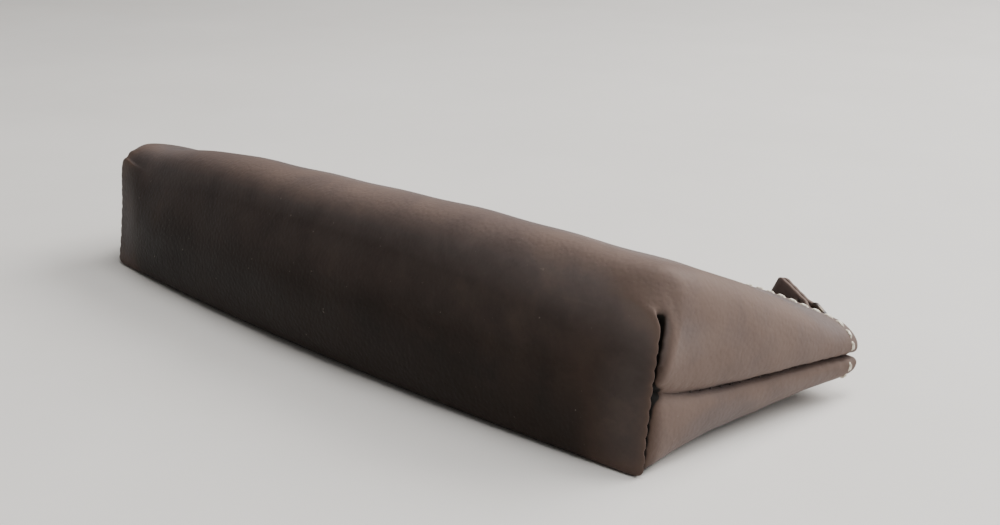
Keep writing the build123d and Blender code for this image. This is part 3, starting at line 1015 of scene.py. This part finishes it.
def tape_look():
    look = Look("woven_tape")
    ribs = look.waves(560.0, "X")
    picks = look.waves(470.0, "Z", 0.4)
    slant = look.waves(330.0, "DIAGONAL", 0.3)
    weave = look.weighted((ribs, 0.5), (picks, 0.35), (slant, 0.25))
    fuzz = look.noise(2600.0, 3.0, 0.6)
    color = look.ramp(look.weighted((weave, 1.0), (fuzz, 0.2)),
                      (0.2, (0.016, 0.012, 0.010)), (0.95, (0.060, 0.045, 0.036)))
    normal = look.bumps((weave, 0.6, 0.00018), (fuzz, 0.25, 0.00006))
    return look.finish(color, look.span(weave, 0.2, 1.0, 0.85, 0.66), normal, {
        "Specular IOR Level": 0.3,
        "Sheen Weight": 0.35,
    })


def metal_look(name, place):
    """Dark tarnished brass with a brighter rubbed bloom."""
    look = Look(name, place)
    tarnish = look.noise(260.0, 5.0, 0.6, distortion=0.5)
    rubbed = look.noise(1500.0, 3.0, 0.6)
    tone = look.weighted((tarnish, 0.7), (rubbed, 0.3))
    color = look.ramp(
        tone,
        (0.36, (0.085, 0.078, 0.082)),
        (0.52, (0.190, 0.155, 0.120)),
        (0.70, (0.420, 0.310, 0.170)),
    )
    fine = look.noise(1.0, 3.0, 0.6, look.stretched((5200, 900, 900)))
    normal = look.bumps((fine, 0.12, 0.00006))
    return look.finish(color, look.span(tone, 0.35, 0.7, 0.46, 0.27), normal, {"Metallic": 0.92})


def floor_look():
    look = Look("pale_floor", "object")
    stone = look.noise(9.0, 5.0, 0.6)
    fine = look.noise(420.0, 3.0, 0.6)
    color = look.ramp(stone, (0.3, (0.735, 0.715, 0.685)), (0.7, (0.785, 0.765, 0.735)))
    return look.finish(color, look.span(fine, 0.3, 0.7, 0.62, 0.74), look.bumps((fine, 0.05, 0.0002)), {})


looks = {
    "leather": leather_look(),
    "suede": suede_look(),
    "cream": thread_look("cream_thread", (0.58, 0.51, 0.39), (0.94, 0.89, 0.76)),
    "brown": thread_look("brown_thread", (0.020, 0.013, 0.010), (0.075, 0.050, 0.038)),
    "tape": tape_look(),
    "metal": metal_look("aged_metal", "rest"),
    "metal_cad": metal_look("aged_metal_cad", "object"),
    "floor": floor_look(),
}


# ---- the leather ----
cage = build_cage()
plain_skin, quads, patch = mesh_from_cage(cage, levels=3)
plain_normals = vertex_normals(plain_skin, quads)
skin = sculpted(plain_skin, plain_normals)
normals = vertex_normals(skin, quads)
raised = np.einsum("ij,ij->i", plain_skin - relaxed(plain_skin, quads, rounds=60), plain_normals)
fully_worn = 0.55  # how far proud of its surroundings the leather is rubbed quite pale
# the painted_light mark holds the painted light and painted shade of each place; wear is the leather's own
# rubbed wear
marks = {"wear": np.clip(raised / fully_worn, 0.0, 1.0), "painted_light": painted_light_and_shade(plain_skin)}
middle_x = skin[quads].mean(axis=1)[:, 0]
pieces = {
    "base_leather": (patch == "base") | (patch == "front"),
    "lower_leather": patch == "lower",
    "upper_leather_near": (patch == "upper") & (middle_x > 0),
    "upper_leather_far": (patch == "upper") & (middle_x <= 0),
}
leather = {name: leather_piece(name, skin, quads[mask], normals, marks, leather_thickness)
           for name, mask in pieces.items()}
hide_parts("base_panel")
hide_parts("lower_side", "near_end_lower", "far_end_lower")
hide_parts("upper_side", "near_end_upper")
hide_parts("upper_side", "far_end_upper")

# ---- threads ----
skin_tree = BVHTree.FromPolygons([tuple(p) for p in skin], [tuple(int(i) for i in q) for q in quads])
stitch_inset = 61.3
lip_end = body_stations[-1]  # the lip runs straight as far as here, and then turns down


def with_halfways(rough):
    """The places with one more half way between each two."""
    fine = []
    for a, b in zip(rough, rough[1:]):
        fine += [tuple(np.array(a) + (np.array(b) - np.array(a)) * t) for t in (0.0, 0.5)]
    return fine + [rough[-1]]


def end_guide(side):
    """Places near the lip's turn down round an end, from above to the side seam."""
    sunk = lip_height(lip_end) - lip_height(side * lip_end)
    places = ((86, 61.4, 21.2), (90, 61.5, 20.8), (94, 61.8, 20.2), (98, 62.4, 19.2), (101, 63.2, 18.2),
              (102.8, 63.7, 17.0), (104.5, 63.8, 15.5), (105.6, 63.8, 13.8), (106.2, 63.8, 12.2),
              (106.4, 63.8, 10.8))
    return [(side * x, back, up - sunk * smooth(up, 10.0, 20.0)) for x, back, up in places]


def upper_guide(side):
    """Along the upper lip from the middle to an end, in short steps."""
    straight = [(side * x, stitch_inset, lip_height(side * x) + 0.8) for x in np.arange(0.5, lip_end, 1.5)]
    return with_halfways(straight + end_guide(side))


def lower_guide():
    """Along the whole lower lip, turning up at both ends."""
    turn = [(106.4, 63.5, 9.2), (106.2, 63.5, 7.0), (104.6, 63.3, 5.2), (102.0, 63.2, 4.2), (99.0, 63.0, 3.8)]
    straight = [(x, 63.2, 3.8) for x in np.arange(96.0, -97.0, -2.0)]
    back_again = [(-x, y, z) for x, y, z in turn[::-1]]
    return with_halfways(turn + straight + back_again)[:-1]


def seam_stitch(side, x, places, depth_in, radius):
    """A stitch across a seam through five (back, up) places, its ends sunk into the leather."""
    outward = (-depth_in, 0.0, 0.1, 0.0, -depth_in)
    return tube_along([(x + side * out, *place) for out, place in zip(outward, places)], radius)


def thread_piece(name, parts, look):
    vertices, faces, marks = parts
    return add_piece(name, vertices, faces, look, rest=marks)


topstitch = {}
for side, end in end_names.items():
    parts = stitches_along(skin_tree, upper_guide(side))
    topstitch[side] = thread_piece("upper_topstitch_" + end, parts, looks["cream"])
    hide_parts("zip_stitch_upper", "zip_stitch_upper_ends")
lower_parts = stitches_along(skin_tree, lower_guide())
lower_topstitch = thread_piece("lower_topstitch", lower_parts, looks["cream"])
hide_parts("zip_stitch_lower")

seam_threads = []
for side, end in end_names.items():
    crossings = []
    for index in range(1, 10):
        up = pucker_pitch * index
        share = float(np.interp(-up, [-seam_top[side][1], -seam_tee[1], -seam_foot[1]], [0.0, 0.5, 1.0]))
        back, _ = crossbar(side, share)
        gap = float(np.interp(share, seam_shares, slit_gap))
        x = side * (half_base - 1.2)
        near_wall, far_wall = back + roll_depth - 0.2, back + roll_depth + gap + 0.4
        backs = (near_wall - 0.5, near_wall, (near_wall + far_wall) / 2, far_wall, far_wall + 0.5)
        crossings.append(seam_stitch(side, x, [(place, up) for place in backs], 0.8, thread_radius * 0.85))
    cross = thread_piece("cross_seam_thread_" + end, joined(crossings), looks["brown"])
    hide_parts(end + "_cross_seam_thread")
    crossings = []
    for index in range(2, 20):
        back = stitch_pitch * index + 0.8
        along, up = seam_line(back)
        x = side * (along - 1.9)
        places = [(back, up + rise) for rise in (0.8, 0.4, 0.0, -0.4, -0.8)]
        crossings.append(seam_stitch(side, x, places, 0.6, thread_radius * 0.75))
    stem = thread_piece("side_seam_thread_" + end, joined(crossings), looks["brown"])
    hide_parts(end + "_side_seam_thread")
    seam_threads += [cross, stem]

# ---- the zip ----
tape_spans = {
    "zip_tape_upper_near": (1, 0.0, tape_end),
    "zip_tape_upper_far": (1, -tape_end, 0.0),
    "zip_tape_low": (-1, -tape_end, tape_end),
}
tapes = {name: tape_piece(name, *span) for name, span in tape_spans.items()}
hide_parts("zipper_tape_upper", "zipper_tape_upper_ends")
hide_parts("zipper_tape_upper", "zipper_tape_upper_ends")
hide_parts("zipper_tape_lower")
teeth_spans = {
    "zip_teeth_upper_near": (1, -0.5, chain_end, 0.0),
    "zip_teeth_upper_far": (1, -chain_end, -0.5, 0.0),
    "zip_teeth_low": (-1, -chain_end, chain_end, teeth_pitch / 2),
}
teeth = {name: teeth_piece(name, *span) for name, span in teeth_spans.items()}
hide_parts("zipper_teeth_upper", "zipper_teeth_upper_ends")
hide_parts("zipper_teeth_upper", "zipper_teeth_upper_ends")
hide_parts("zipper_teeth_lower")
body = refined("slider_body", "slider_shell", 0.45, looks["metal"])
bridge = refined("slider_bridge", "slider_loop", 0.25, looks["metal"])
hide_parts("slider_body")
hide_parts("slider_bridge")
stops = {"top_stop_clasps": refined("top_stops", "top_stop_clasps", 0.18, looks["metal"]),
         "bottom_stop_clasp": refined("bottom_stop", "bottom_stop_clasp", 0.25, looks["metal"])}
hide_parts("top_stops")
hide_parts("bottom_stop")

# ---- the pull ----
ring_bar = np.array([91.023, 36.012 - front, 14.464])  # the side of the ring that the strap folds round
strap_sections = strap_places(ring_bar)
strap = swept_strip(strap_sections, "pull_strap", looks["leather"])
# The strap is painted paler, as painted light on its lit face.
mark_points(strap.data, "painted_light", [1.25] * len(strap.data.vertices))
corner_wear = [0.8 if i in strap_edge_corners else 0.25 for i in range(len(strap_outline))]
mark_points(strap.data, "wear", corner_wear * len(strap_sections))
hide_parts("leather_pull")
reach, rise, across = strap_axes()
pull_stitch_reach = 3.35  # from the ring's bar
pull_stitches = []
for side in (1, -1):
    for row in (-1, 0, 1):
        middle = ring_bar + reach * pull_stitch_reach + across * stitch_pitch * 0.72 * row
        face = rise * side
        path = []
        for share in np.linspace(-1, 1, 7):
            lift = strap_layer + 0.12 - 0.7 * share ** 4
            path.append(middle + across * 0.85 * share + face * lift)
        pull_stitches.append(tube_along(path, thread_radius))
pull_thread = thread_piece("pull_thread", joined(pull_stitches), looks["brown"])
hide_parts("pull_stitch")
ring_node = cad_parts["puller_ring"]
ring_node.data.materials.clear()
ring_node.data.materials.append(looks["metal_cad"])

# ---- what each piece moves with ----
for piece in (leather["base_leather"], leather["lower_leather"], lower_topstitch, *seam_threads,
              tapes["zip_tape_low"], teeth["zip_teeth_low"], *stops.values()):
    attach(piece, "case")
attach(body, "slider")
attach(bridge, "slider")
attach(strap, "strap")
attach(pull_thread, "strap")
for side, end in end_names.items():
    moving = (leather["upper_leather_" + end], topstitch[side], tapes["zip_tape_upper_" + end],
              teeth["zip_teeth_upper_" + end])
    for piece in moving:
        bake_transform(piece)

# ---- floor, light and camera ----
floor_half = 3.0
floor_mesh = bpy.data.meshes.new("floor")
floor_corners = [(x * floor_half, y * floor_half, 0) for x, y in ((-1, -1), (1, -1), (1, 1), (-1, 1))]
floor_mesh.from_pydata(floor_corners, [], [(0, 1, 2, 3)])
floor_mesh.materials.append(looks["floor"])
floor = new_object("floor", floor_mesh)


def area_light(name, place, target, size, power, color):
    data = bpy.data.lights.new(name, "AREA")
    data.shape = "RECTANGLE"
    data.size, data.size_y = size
    data.energy = power
    data.color = color
    light = new_object(name, data)
    light.location = place
    light.rotation_euler = (Vector(target) - Vector(place)).to_track_quat("-Z", "Y").to_euler()


area_light("window", (0.45, 0.80, 0.80), (0, 0, 0), (1.0, 0.7), 21, (1.0, 0.985, 0.965))
area_light("side", (1.0, 0.12, 0.55), (0, 0, 0), (0.6, 0.6), 2.5, (0.97, 0.98, 1.0))
area_light("overhead", (0.2, 0.06, 1.1), (0.05, 0, 0), (0.8, 0.4), 10.0, (1.0, 0.99, 0.98))
world = bpy.data.worlds.new("world")
bpy.context.scene.world = world
world.use_nodes = True
background = world.node_tree.nodes["Background"]
background.inputs[0].default_value = (0.90, 0.88, 0.86, 1)
background.inputs[1].default_value = 0.17

camera_data = bpy.data.cameras.new("camera")
camera_data.lens = 50.0
camera_data.sensor_width = 36.0
camera = new_object("camera", camera_data)
camera.location = (0.253, -0.197 + front * MM, 0.128)
camera_pitch, camera_yaw = 18.3, 44.6
camera.rotation_euler = (math.radians(90 - camera_pitch), 0, math.radians(camera_yaw))
bpy.context.scene.camera = camera
